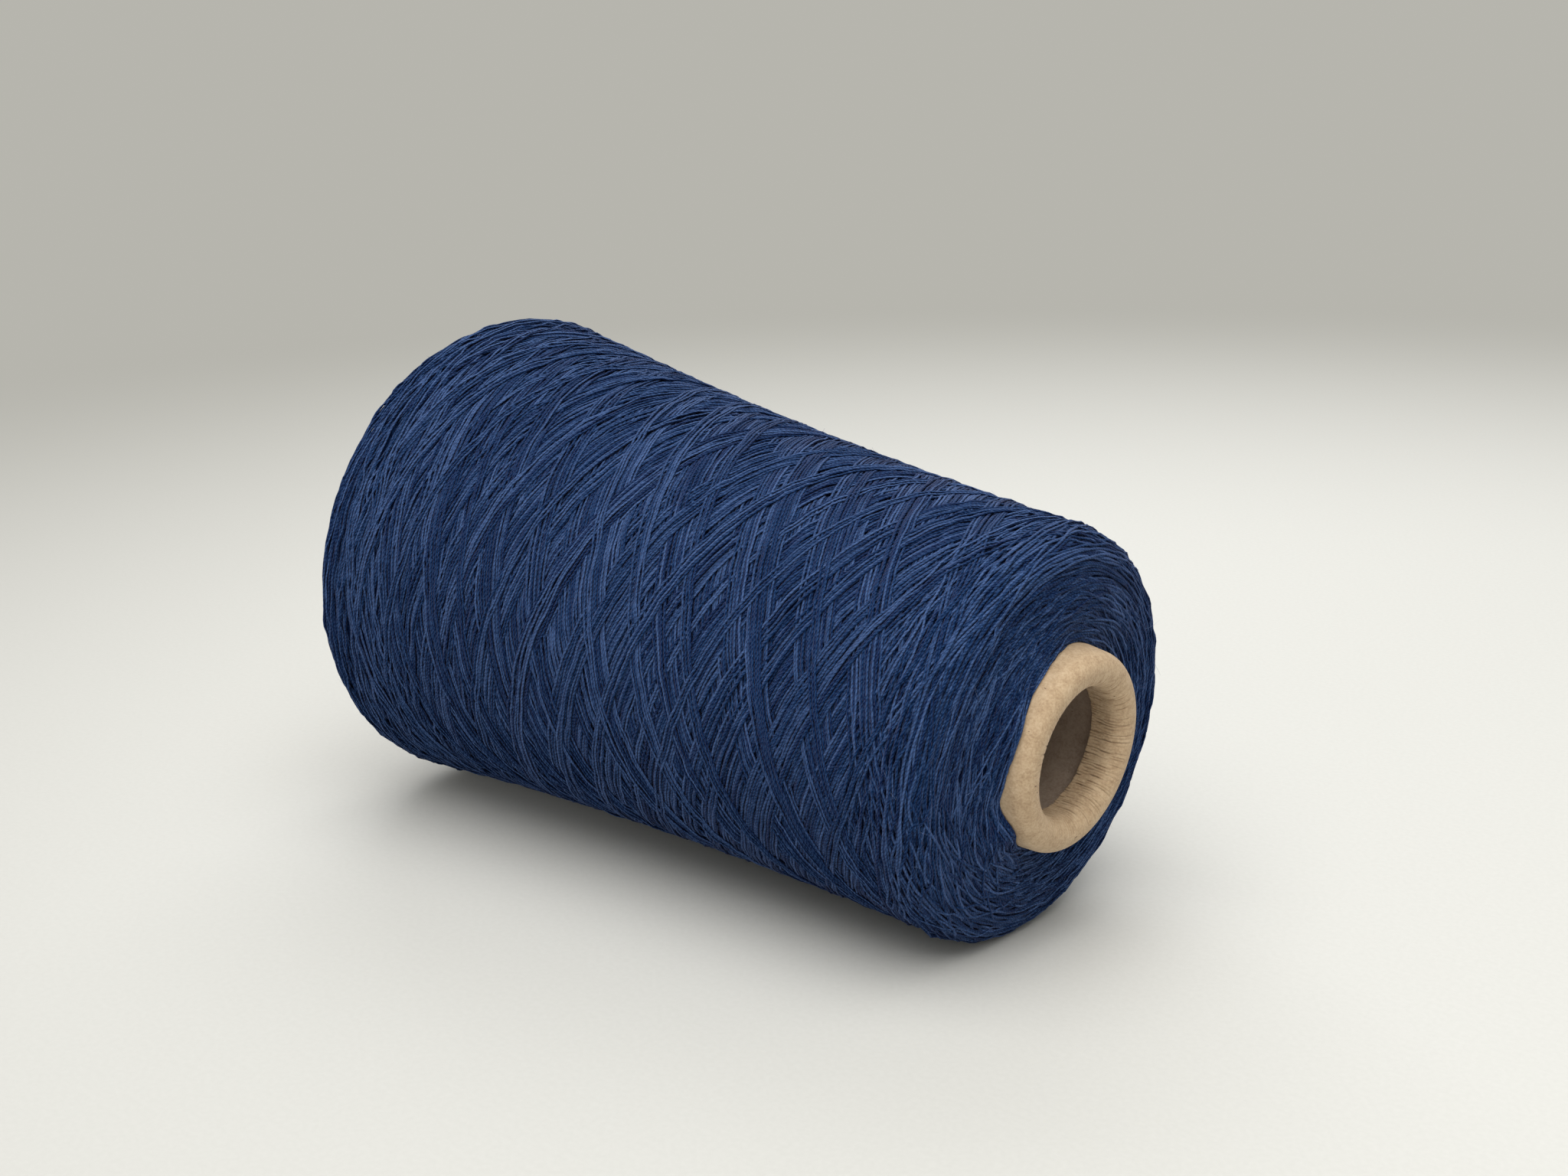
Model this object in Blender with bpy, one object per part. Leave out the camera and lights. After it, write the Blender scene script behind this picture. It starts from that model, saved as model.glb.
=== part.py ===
"""Cone of cross-wound yarn on a paper cone, lying on its side with the nose towards +X.

Four solids share one slanted axis: the board core of the paper cone, its kraft cover ply,
the yarn package wound on it and the transfer tail on the bare base. Each is a closed
section, given as (radius, distance along the axis from the package's wide end towards the
nose), turned round that axis. The origin is under the middle of the whole object, at the
height of the surface that it rests on.
"""
import math

import bmesh
import bpy
from mathutils import Matrix, Vector

# Paper cone: a standard 170 mm cone with a taper of 4 degrees 20 minutes a side.
CONE_LENGTH = 0.170
CONE_TAPER = math.radians(4 + 20 / 60)
NOSE_PROTRUSION = 0.0073      # from the package's narrow end to the tip of the nose
NOSE_CREST_RADIUS = 0.0159    # from the axis to the middle of the rolled rim
ROLL_RADIUS = 0.0034          # of the rolled rim's section, cover ply included
FOLD_DEPTH = 0.0036           # how far the rolled-in edge reaches into the mouth
COVER_THICKNESS = 0.0005
CORE_THICKNESS = 0.0020

# Yarn package.
PACKAGE_LENGTH = 0.152
WIDE_RADIUS = 0.0528          # at the corner of flank and wide end, before rounding
NARROW_RADIUS = 0.0399
WAIST_DEPTH = 0.0024          # how far the flank dips below a straight line
WIDE_ROUNDING = 0.0058
NARROW_ROUNDING = 0.0073
WIDE_DISH = 0.0015            # how far the wide end sinks in towards the cone
NARROW_BULGE = 0.0020         # how far the narrow end rises towards the nose
PRESSED_DEPTH = 0.0006        # of the strip that its own weight flattens

# Transfer tail: seven turns of yarn side by side on the bare base of the cone.
YARN_DIAMETER = 0.0005
TAIL_TURNS = 7
TAIL_START = -0.0070

GAP = 0.0003                  # between pieces that touch
PACKAGE_SEGMENTS = 64
CONE_SEGMENTS = 48
ARC_STEPS = 8
FLANK_STEPS = 10

TIP = PACKAGE_LENGTH + NOSE_PROTRUSION
BASE = TIP - CONE_LENGTH
CREST = (NOSE_CREST_RADIUS, TIP - ROLL_RADIUS)    # centre of the rolled rim's section


def clear_scene():
    for obj in list(bpy.data.objects):
        bpy.data.objects.remove(obj, do_unlink=True)


def material(name, colour, roughness):
    """A non-metallic Principled material with one colour."""
    mat = bpy.data.materials.new(name)
    mat.use_nodes = True
    shader = mat.node_tree.nodes["Principled BSDF"]
    shader.inputs["Base Color"].default_value = (*colour, 1.0)
    shader.inputs["Roughness"].default_value = roughness
    shader.inputs["Metallic"].default_value = 0.0
    mat.diffuse_color = (*colour, 1.0)
    return mat


def wall_frame(offset, forward):
    """A point offset outward from, and forward along, the line through the rim's centre."""
    radius = CREST[0] + offset * math.cos(CONE_TAPER) - forward * math.sin(CONE_TAPER)
    along = CREST[1] + offset * math.sin(CONE_TAPER) + forward * math.cos(CONE_TAPER)
    return radius, along


def wall_point(offset, along):
    """The same kind of point, found by its distance along the axis instead."""
    to_height = (along - CREST[1] - offset * math.sin(CONE_TAPER)) / math.cos(CONE_TAPER)
    return wall_frame(offset, to_height)


def arc(centre, radius, start, end, steps=ARC_STEPS):
    """Points on an arc; angles are from the outward radial direction towards the nose."""
    angles = [start + (end - start) * i / steps for i in range(steps + 1)]
    return [(centre[0] + radius * math.cos(a), centre[1] + radius * math.sin(a)) for a in angles]


def rolled_ply(outer_offset, thickness):
    """Section of a ply that runs up the cone, over the nose and back into the mouth."""
    inner_offset = outer_offset - thickness
    over, back = CONE_TAPER + math.pi, CONE_TAPER
    outer = [wall_frame(-outer_offset, -FOLD_DEPTH)]
    outer += arc(CREST, outer_offset, over, back)
    outer += [wall_point(outer_offset, BASE)]
    inner = [wall_point(inner_offset, BASE)]
    inner += arc(CREST, inner_offset, back, over)
    inner += [wall_frame(-inner_offset, -FOLD_DEPTH)]
    return outer + inner


def flank_radius(along):
    """Radius of the package's waisted flank."""
    t = along / PACKAGE_LENGTH
    return WIDE_RADIUS + (NARROW_RADIUS - WIDE_RADIUS) * t - 4 * WAIST_DEPTH * t * (1 - t)


def flank_angle(along):
    """Angle of the flank's outward normal above the radial direction."""
    t = along / PACKAGE_LENGTH
    slope = (NARROW_RADIUS - WIDE_RADIUS - 4 * WAIST_DEPTH * (1 - 2 * t)) / PACKAGE_LENGTH
    return math.atan(-slope)


def shoulder(centre_along, rounding):
    """Where a shoulder's arc meets the flank, the flank's angle there, and its centre."""
    angle = flank_angle(centre_along)
    meets = centre_along + rounding * math.sin(angle)
    centre = (flank_radius(meets) - rounding * math.cos(angle), centre_along)
    return meets, angle, centre


WIDE_SHOULDER = shoulder(WIDE_ROUNDING, WIDE_ROUNDING)
NARROW_SHOULDER = shoulder(PACKAGE_LENGTH - NARROW_ROUNDING, NARROW_ROUNDING)


def package_section():
    """Section of the wound yarn, from the cone out, down the flank and back to the cone."""
    narrow_flank, narrow_angle, narrow_centre = NARROW_SHOULDER
    wide_flank, wide_angle, wide_centre = WIDE_SHOULDER
    points = [wall_point(ROLL_RADIUS + GAP, PACKAGE_LENGTH + NARROW_BULGE)]
    points += arc(narrow_centre, NARROW_ROUNDING, math.pi / 2, narrow_angle)
    for i in range(1, FLANK_STEPS):
        along = narrow_flank + (wide_flank - narrow_flank) * i / FLANK_STEPS
        points.append((flank_radius(along), along))
    points += arc(wide_centre, WIDE_ROUNDING, wide_angle, -math.pi / 2)
    points += [wall_point(ROLL_RADIUS + GAP, WIDE_DISH)]
    return points


def tail_section():
    """Section of the flat coil of parked turns, its two outer edges rounded."""
    half = YARN_DIAMETER / 2
    inside = ROLL_RADIUS + GAP
    low, high = TAIL_START, TAIL_START + TAIL_TURNS * YARN_DIAMETER
    points = [wall_point(inside, high)]
    points += arc(wall_point(inside + half, high - half), half, math.pi / 2, 0, ARC_STEPS // 2)
    points += arc(wall_point(inside + half, low + half), half, 0, -math.pi / 2, ARC_STEPS // 2)
    points += [wall_point(inside, low)]
    return points


def resting_tilt():
    """Slope of the axis with both shoulders touching the surface below."""
    wide, narrow = WIDE_SHOULDER[2], NARROW_SHOULDER[2]
    across, along = wide[0] - narrow[0], wide[1] - narrow[1]
    reach = (NARROW_ROUNDING - WIDE_ROUNDING) / math.hypot(across, along)
    return math.atan2(along, across) + math.acos(reach)


def package_axis():
    """The empty that carries every piece: its +Z is the slanted axis, towards the nose."""
    tilt = resting_tilt()
    wide = WIDE_SHOULDER[2]
    drop = wide[0] * math.cos(tilt) + wide[1] * math.sin(tilt) + WIDE_ROUNDING
    nose = CREST[0] * math.sin(tilt) + CREST[1] * math.cos(tilt) + ROLL_RADIUS
    rim_radius, rim_along = wall_point(ROLL_RADIUS, BASE)
    rear = rim_along * math.cos(tilt) - rim_radius * math.sin(tilt)
    empty = bpy.data.objects.new("package_axis", None)
    bpy.context.collection.objects.link(empty)
    empty.location = (-(nose + rear) / 2, 0.0, drop - PRESSED_DEPTH)
    empty.rotation_euler = (0.0, math.pi / 2 + tilt, 0.0)
    return empty


def turned(name, section, segments, mat, axis):
    """A closed section turned once round its parent's axis."""
    mesh = bpy.data.meshes.new(name)
    count = len(section)
    edges = [(i, (i + 1) % count) for i in range(count)]
    mesh.from_pydata([(radius, 0.0, along) for radius, along in section], edges, [])
    obj = bpy.data.objects.new(name, mesh)
    bpy.context.collection.objects.link(obj)
    mesh.materials.append(mat)
    screw = obj.modifiers.new("turn", "SCREW")
    screw.axis = "Z"
    screw.angle = 2 * math.pi
    screw.steps = segments
    screw.render_steps = segments
    screw.use_merge_vertices = True
    screw.merge_threshold = 0.00001
    screw.use_smooth_shade = True
    obj.parent = axis
    return obj


def press_flat(obj):
    """Cut the package off level with the surface that it lies on."""
    depth = 0.02
    bm = bmesh.new()
    size = Vector((2 * PACKAGE_LENGTH, 4 * WIDE_RADIUS, depth))
    place = Matrix.Translation((0.0, 0.0, -depth / 2)) @ Matrix.Diagonal(size).to_4x4()
    bmesh.ops.create_cube(bm, size=1.0, matrix=place)
    mesh = bpy.data.meshes.new("surface_below")
    bm.to_mesh(mesh)
    bm.free()
    cutter = bpy.data.objects.new("surface_below", mesh)
    bpy.context.collection.objects.link(cutter)
    cutter.hide_render = True
    cutter.display_type = "WIRE"
    cut = obj.modifiers.new("pressed_strip", "BOOLEAN")
    cut.operation = "DIFFERENCE"
    cut.solver = "EXACT"
    cut.object = cutter


def main():
    clear_scene()
    board = material("grey_board", (0.42, 0.33, 0.262), 0.85)
    kraft = material("kraft_paper", (0.51, 0.375, 0.24), 0.75)
    yarn = material("navy_yarn", (0.015, 0.036, 0.115), 0.70)
    axis = package_axis()

    core_offset = ROLL_RADIUS - COVER_THICKNESS - GAP
    turned("cone_core", rolled_ply(core_offset, CORE_THICKNESS), CONE_SEGMENTS, board, axis)
    turned("cone_cover_ply", rolled_ply(ROLL_RADIUS, COVER_THICKNESS), CONE_SEGMENTS, kraft, axis)
    package = turned("yarn_package", package_section(), PACKAGE_SEGMENTS, yarn, axis)
    press_flat(package)
    turned("transfer_tail", tail_section(), CONE_SEGMENTS, yarn, axis)


main()
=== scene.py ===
"""Looks of a cone of yarn on a paper cone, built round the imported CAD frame.

Lengths are in metres unless a name ends in _MM. A place on the turned surfaces is given by
its distance along a section, from the wide end to the nose, and its angle round the axis.
The yarn is wound turn by turn: each strand is laid on a height map of what is already there,
and only the stretches that aren't buried become geometry.
"""
import math

import bmesh
import bpy
import numpy as np
from mathutils import Euler, Matrix, Vector


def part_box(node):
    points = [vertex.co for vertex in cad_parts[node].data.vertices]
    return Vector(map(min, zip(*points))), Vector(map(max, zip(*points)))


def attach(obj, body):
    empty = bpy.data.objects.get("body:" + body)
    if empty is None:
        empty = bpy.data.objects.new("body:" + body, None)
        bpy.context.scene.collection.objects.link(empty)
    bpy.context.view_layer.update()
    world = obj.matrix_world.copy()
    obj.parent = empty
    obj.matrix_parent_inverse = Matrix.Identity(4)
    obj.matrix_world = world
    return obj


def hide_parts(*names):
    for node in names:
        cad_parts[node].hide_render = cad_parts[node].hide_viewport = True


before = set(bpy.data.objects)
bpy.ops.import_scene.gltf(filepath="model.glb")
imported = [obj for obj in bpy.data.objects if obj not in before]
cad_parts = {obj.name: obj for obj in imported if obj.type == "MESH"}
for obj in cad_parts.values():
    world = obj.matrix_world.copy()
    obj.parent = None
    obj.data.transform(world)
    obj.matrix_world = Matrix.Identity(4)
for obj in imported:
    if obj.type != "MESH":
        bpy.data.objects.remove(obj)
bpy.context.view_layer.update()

RNG = np.random.default_rng(20)

# ---------------------------------------------------------------- the design's dimensions
CONE_LENGTH = 0.170
CONE_TAPER = math.radians(4 + 20 / 60)
NOSE_PROTRUSION = 0.0073
CREST_RADIUS = 0.0159
ROLL_RADIUS = 0.0034
FOLD_DEPTH = 0.0036
COVER_THICKNESS = 0.0005
CORE_THICKNESS = 0.0020
PLY_GAP = 0.0003
CREASE_DEPTH = 0.00036               # of the gathers where the cover ply turns in
CREASE_COUNTS = (132, 126, 136, 124, 130)    # round the mouth, from the cut edge outward
CREASE_REACH = 0.72                  # share of the rolled rim that they run over
EDGE_UNEVENNESS = 0.00012            # of the cover ply's cut edge in the mouth
LAP_STEP = 0.00030                   # where the board sheet overlaps itself in the bore
LAP_DEGREES = 4.0                    # round the axis, over which the bore steps in

PACKAGE_LENGTH = 0.152
WIDE_RADIUS = 0.0528
NARROW_RADIUS = 0.0399
WAIST_DEPTH = 0.0024
WIDE_ROUNDING = 0.0058
NARROW_ROUNDING = 0.0073
WIDE_DISH = 0.0015                   # how far the wide end sinks in towards the cone
NARROW_BULGE = 0.0020                # how far the narrow end rises towards the nose
END_SPAN_MM = 18                     # of the section at each end, before the flank

TIP = PACKAGE_LENGTH + NOSE_PROTRUSION
BASE = TIP - CONE_LENGTH
CREST_ALONG = TIP - ROLL_RADIUS

# ---------------------------------------------------------------- yarn and winding
YARN_HALF_WIDTH_MM = 0.27
YARN_HALF_HEIGHT_MM = 0.19
TWIST_PITCH_MM = 1.9                 # one full turn of the two plies

STRAND_PITCH_MM = 0.50               # along the section, between strands of a ribbon
BLOCKS = 12                          # pattern blocks wound one after another
TOP_BLOCKS = 3                       # of which the last ones are of narrow ribbons
RIBBONS = (5, 8)                     # in each direction of a block, up to but not 8
STRANDS = (9, 17)                    # in a ribbon, up to but not 17
TOP_STRANDS = (3, 8)                 # and in the narrow ribbons on top
RIBBON_SCATTER = 0.08                # of the even spacing round the axis, in radians
RIBBON_DRIFT = (30.0, 0.5)           # wavelength along the section and size, both in mm
RIBBON_SPREAD = (40.0, 0.05)         # the same of the pitch, its size as a share
STRAND_DRIFT = (22.0, 0.07)          # the same of one strand in a ribbon
WIDE_WIND_ANGLE = math.radians(9.0)  # between a strand and the circumference
NARROW_WIND_ANGLE = math.radians(21.0)
FULL_ANGLE_MM = 105.0                # distance from the wide end to the full angle
TURN_LENGTH_MM = 9.0                 # over which a strand swings round at a package end
WIDE_TURNS_MM = (-3.0, 6.5)          # range of turning points past the wide flank edge
NARROW_TURNS_MM = (-3.0, 9.0)        # and past the narrow one
TURN_ARC_MM = (8.0, 34.0)            # how far a strand runs round after turning
TURN_CURL = 0.0006                   # how it curls away meanwhile, in mm per mm squared
DIVE_MM = 7.0                        # length of strand that dives in at each of its ends
DIVE_DEPTH_MM = 1.0

CLIMB_SLOPE = 0.34                   # steepest climb of a tight strand over a bump
BRIDGE_MM = 0.45                     # highest that a strand stands clear of those below
NEST_SHARE = 0.55                    # of its half height that a strand's centre rises
SLIP_REACHES_MM = (0.9, 0.5)         # how far to each side a strand feels for a hollow
SLIP_SHARE = 0.8                     # of the slope there that it slides
SLIP_LIMIT_MM = 0.3
SLIP_SOFTENING = 10                  # width in samples of the smoothing of its slide,
LIFT_SOFTENING = 1.6                 # of its rise over the strands below
PRESS_SOFTENING = 2.0                # and of how far it is pressed down when they settle
LAY_STEP_MM = 0.25                   # spacing of the samples when a strand is laid
PRINT_LINES = 5                      # lines of samples across a strand
PRINT_SHARE = 0.9                    # of its half width, out to the outermost line
MESH_STEP_MM = 1.5                   # spacing of the rings of a strand's tube
TUBE_SIDES = 5
TIP_TAPER = 0.45                     # size of a tube's first and last ring
ROUND_CELLS = 1536                   # height map cells round the axis
ALONG_CELL_MM = 0.2                  # height map cell along the section
MEAN_RADIUS_MM = 45.0                # of the package, for the width of a cell round it
SETTLE_MM = 1.8                      # hills wider than this are pressed level
SEEN_DEPTH_MM = 0.02                 # how far under the surface a strand is still seen
SEEN_MARGIN_MM = 1.25                # of buried strand kept beside what is seen

WIDE_ARCS = (1200, 22.0, 0.06)       # on the wide end: number, mean length in mm, lean
NARROW_ARCS = (1400, 17.0, 0.15)     # and on the narrow one
ARC_LENGTHS = (0.6, 1.6)             # range of their lengths, as shares of that mean
ARC_ODDS_MM = (12.0, 55.0)           # at radius r, r + 12 in 55 of them are laid
ARC_DRIFT = (12.0, 0.22)             # wavelength along an arc and size, both in mm
ARC_STRAY_MM = (0.2, 0.1)            # how far they pass the low and high edge of a face
ARC_DIVE_MM = 0.9                    # how deep the ends of an arc dive in
LOOSE_LOOPS = 90                     # slipped turns crossed over each other by the nose
LOOPS_SIDE = math.radians(318)       # the side they lie on
LOOPS_SCATTER = 0.45                 # round the axis from there, in radians
LOOP_MM = (9.0, 20.0)                # range of their lengths
LOOP_BOW_MM = 1.6
LOOP_LEAN = 0.30
LOOP_STRAY_MM = 1.5                  # how far they reach back over the shoulder
LOOP_DIVE_MM = 0.8

FUZZ_HAIRS = 6500                    # loose fibre ends standing off the yarn
HAIR_RADIUS = 0.000018
BODY_DEPTH_MM = 0.12                 # of the body below the lowest strand near by
BODY_RANGE_MM = (-0.9, 2.5)          # of its height over the nominal surface
FACES_PER_PIECE = 95_000

HEAP_REACH_MM = 9.0                  # part of the narrow end that is heaped or hollow
HEAP_MEAN_MM = -0.7
HEAP_SWING_MM = 1.9
HEAP_SIDE = math.radians(258)        # where it is heaped highest
HEAP_BUMPS = (                       # slipped loops: (degrees, height in mm, half width)
    (40, 0.7, 14), (95, 0.8, 18), (130, -0.5, 14), (174, -1.0, 20), (247, 1.2, 17),
    (286, -0.9, 9), (305, 1.6, 9), (340, -0.4, 12),
)

TAIL_START = -0.0068                 # of the turns parked on the bare base of the cone
TAIL_TURNS = 7
TAIL_PITCH = 0.0005
TAIL_RADIUS = 0.00022
TAIL_SCATTER = 0.0001                # of the places of the turns
TAIL_LEAD_TURNS = 0.22               # over which the last turn runs up to the package
TAIL_LEAD_END = 0.0007               # where it goes in under the package

# ---------------------------------------------------------------- camera and studio tones
CAMERA_ANGLES = (math.radians(40.84), math.radians(15.95))       # azimuth and elevation
CAMERA_FROM_WIDE_END = (0.0654, 0.0109, -0.4566)         # to its right, down and forward
CAMERA_LENS_MM = 45.7
SURROUNDINGS = (0.47, 0.462, 0.42)
FLOOR_CENTRE = (0.15, 0.154, 0.0)    # the brightest part of the floor
FLOOR_CLEARANCE = 0.00002            # of the lowest yarn, and of the floor below zero
FLOOR_FADE = (0.18, 0.80)            # distances from it between which the floor fades out


def clean_scene():
    for name in ("Cube", "Light", "Camera"):
        if name in bpy.data.objects:
            bpy.data.objects.remove(bpy.data.objects[name], do_unlink=True)


# ---------------------------------------------------------------- sections
def arc(centre, radius, start, end, steps):
    angles = np.linspace(start, end, steps + 1)
    return np.column_stack([centre[0] + radius * np.cos(angles), centre[1] + radius * np.sin(angles)])


def wall_frame(offset, forward):
    """(radius, along) at an offset outward from, and forward along, the rim's centre line."""
    radius = CREST_RADIUS + offset * math.cos(CONE_TAPER) - forward * math.sin(CONE_TAPER)
    along = CREST_ALONG + offset * math.sin(CONE_TAPER) + forward * math.cos(CONE_TAPER)
    return np.array([radius, along])


def wall_point(offset, along):
    forward = (along - CREST_ALONG - offset * math.sin(CONE_TAPER)) / math.cos(CONE_TAPER)
    return wall_frame(offset, forward)


def flank_radius(along):
    t = along / PACKAGE_LENGTH
    return WIDE_RADIUS + (NARROW_RADIUS - WIDE_RADIUS) * t - 4 * WAIST_DEPTH * t * (1 - t)


def shoulder(along, rounding):
    """Where a shoulder's arc meets the flank, the flank's angle there, and the arc's centre."""
    t = along / PACKAGE_LENGTH
    slope = (NARROW_RADIUS - WIDE_RADIUS - 4 * WAIST_DEPTH * (1 - 2 * t)) / PACKAGE_LENGTH
    angle = math.atan(-slope)
    meets = along + rounding * math.sin(angle)
    return meets, angle, (flank_radius(meets) - rounding * math.cos(angle), along)


def resting_tilt():
    """Slope of the axis with both shoulders touching the surface below."""
    wide = shoulder(WIDE_ROUNDING, WIDE_ROUNDING)[2]
    narrow = shoulder(PACKAGE_LENGTH - NARROW_ROUNDING, NARROW_ROUNDING)[2]
    across, along = wide[0] - narrow[0], wide[1] - narrow[1]
    reach = (NARROW_ROUNDING - WIDE_ROUNDING) / math.hypot(across, along)
    return math.atan2(along, across) + math.acos(reach)


def axis_matrix():
    """Local +Z runs along the package's axis to the nose; local z = 0 is the wide end.

    The nose tip is the frame's furthest point along +X and the wide shoulder its highest,
    so the axis is placed from the CAD box.
    """
    tilt = resting_tilt()
    wide = shoulder(WIDE_ROUNDING, WIDE_ROUNDING)[2]
    nose = CREST_RADIUS * math.sin(tilt) + CREST_ALONG * math.cos(tilt) + ROLL_RADIUS
    top = wide[0] * math.cos(tilt) - wide[1] * math.sin(tilt) + WIDE_ROUNDING
    nose_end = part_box("cone_cover_ply")[1][0]
    package_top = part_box("yarn_package")[1][2]
    place = Vector((nose_end - nose, 0.0, package_top - top))
    return Matrix.Translation(place) @ Euler((0.0, math.pi / 2 + tilt, 0.0)).to_matrix().to_4x4()


AXIS = axis_matrix()
AXIS_TURN = np.array(AXIS.to_3x3()).T    # turns rows of local directions into the world's


def package_section():
    """Section of the wound yarn from the cone at the wide end, over the flank, to the nose."""
    wide_flank, wide_angle, wide_centre = shoulder(WIDE_ROUNDING, WIDE_ROUNDING)
    narrow_flank, narrow_angle, narrow_centre = shoulder(
        PACKAGE_LENGTH - NARROW_ROUNDING, NARROW_ROUNDING)
    flank_points, arc_steps = 60, 24
    along = np.linspace(wide_flank, narrow_flank, flank_points)[1:-1]
    flank = np.column_stack([flank_radius(along), along])
    rough = np.vstack([
        wall_point(ROLL_RADIUS + PLY_GAP, WIDE_DISH),
        arc(wide_centre, WIDE_ROUNDING, -math.pi / 2, wide_angle, arc_steps),
        flank,
        arc(narrow_centre, NARROW_ROUNDING, narrow_angle, math.pi / 2, arc_steps),
        wall_point(ROLL_RADIUS + PLY_GAP, PACKAGE_LENGTH + NARROW_BULGE),
    ])
    return resample(rough, ALONG_CELL_MM * 0.001)


def resample(points, step):
    """The same line with evenly spaced points."""
    gaps = np.hypot(*np.diff(points, axis=0).T)
    run = np.concatenate([[0.0], np.cumsum(gaps)])
    count = int(round(run[-1] / step)) + 1
    even = np.linspace(0.0, run[-1], count)
    return np.column_stack([np.interp(even, run, points[:, k]) for k in (0, 1)])


class Surface:
    """The package's nominal surface as a section, with what height maps need of it."""

    def __init__(self, section):
        self.radius = section[:, 0] * 1000
        self.along = section[:, 1] * 1000
        tangent = np.gradient(section, axis=0)
        tangent /= np.hypot(tangent[:, 0], tangent[:, 1])[:, None]
        cells_softened = 8
        self.normal_radial = smooth(tangent[:, 1], cells_softened)
        self.normal_along = smooth(-tangent[:, 0], cells_softened)
        self.cell = float(np.hypot(*(np.diff(section[:2], axis=0)[0]))) * 1000
        self.length = self.cell * (len(section) - 1)
        self.wide_edge = self.s_of_along(WIDE_ROUNDING * 1000)
        self.narrow_edge = self.s_of_along((PACKAGE_LENGTH - NARROW_ROUNDING) * 1000)

    def at(self, values, s):
        return np.interp(s, np.arange(len(values)) * self.cell, values)

    def s_of_along(self, along_mm):
        """Distance along the section of a point of the flank."""
        end_cells = int(END_SPAN_MM / self.cell)
        inner = slice(end_cells, len(self.along) - end_cells)
        return float(np.interp(along_mm, self.along[inner],
                               np.arange(len(self.along))[inner] * self.cell))

    def heap(self, s, theta):
        """How much further along the axis the yarn is heaped against the nose, in mm: more
        on one side, less on the other."""
        near = np.clip(1 - (self.length - s) / HEAP_REACH_MM, 0, 1)
        around = HEAP_MEAN_MM + HEAP_SWING_MM * np.cos(theta - HEAP_SIDE)
        for place, height, half_width in HEAP_BUMPS:
            apart = np.angle(np.exp(1j * (theta - math.radians(place))), deg=True)
            around = around + height * np.exp(-(apart / half_width) ** 2)
        return near * near * (3 - 2 * near) * around

    def world(self, s, theta, height):
        """World points, in metres, at a height in mm above the nominal surface."""
        radial = self.at(self.radius, s) + height * self.at(self.normal_radial, s)
        along = self.at(self.along, s) + height * self.at(self.normal_along, s)
        along = along + self.heap(s, theta)
        return to_world(cylindrical(radial, theta, along) * 0.001)

    def normals(self, s, theta):
        radial, along = self.at(self.normal_radial, s), self.at(self.normal_along, s)
        return cylindrical(radial, theta, along) @ AXIS_TURN


def cylindrical(radius, theta, along):
    """Local points from their radii, angles round the axis and distances along it."""
    return np.stack([radius * np.cos(theta), radius * np.sin(theta), along], axis=-1)


def to_world(local):
    return local @ AXIS_TURN + np.array(AXIS.translation)


def smooth(values, width):
    """Gaussian smoothing of a line, with its ends held; the width is in samples."""
    reach = int(3 * width) + 1
    kernel = np.exp(-0.5 * (np.arange(-reach, reach + 1) / width) ** 2)
    padded = np.concatenate([np.full(reach, values[0]), values, np.full(reach, values[-1])])
    return np.convolve(padded, kernel / kernel.sum(), "valid")


def wander(count, step_mm, wavelength_mm, size):
    """Slow random drift along a line of samples."""
    knots = max(4, int(count * step_mm / wavelength_mm) + 3)
    values = RNG.normal(0.0, size, knots)
    softening = 0.3 * wavelength_mm / step_mm
    return smooth(np.interp(np.linspace(0, knots - 1, count), np.arange(knots), values),
                  softening)


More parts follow.
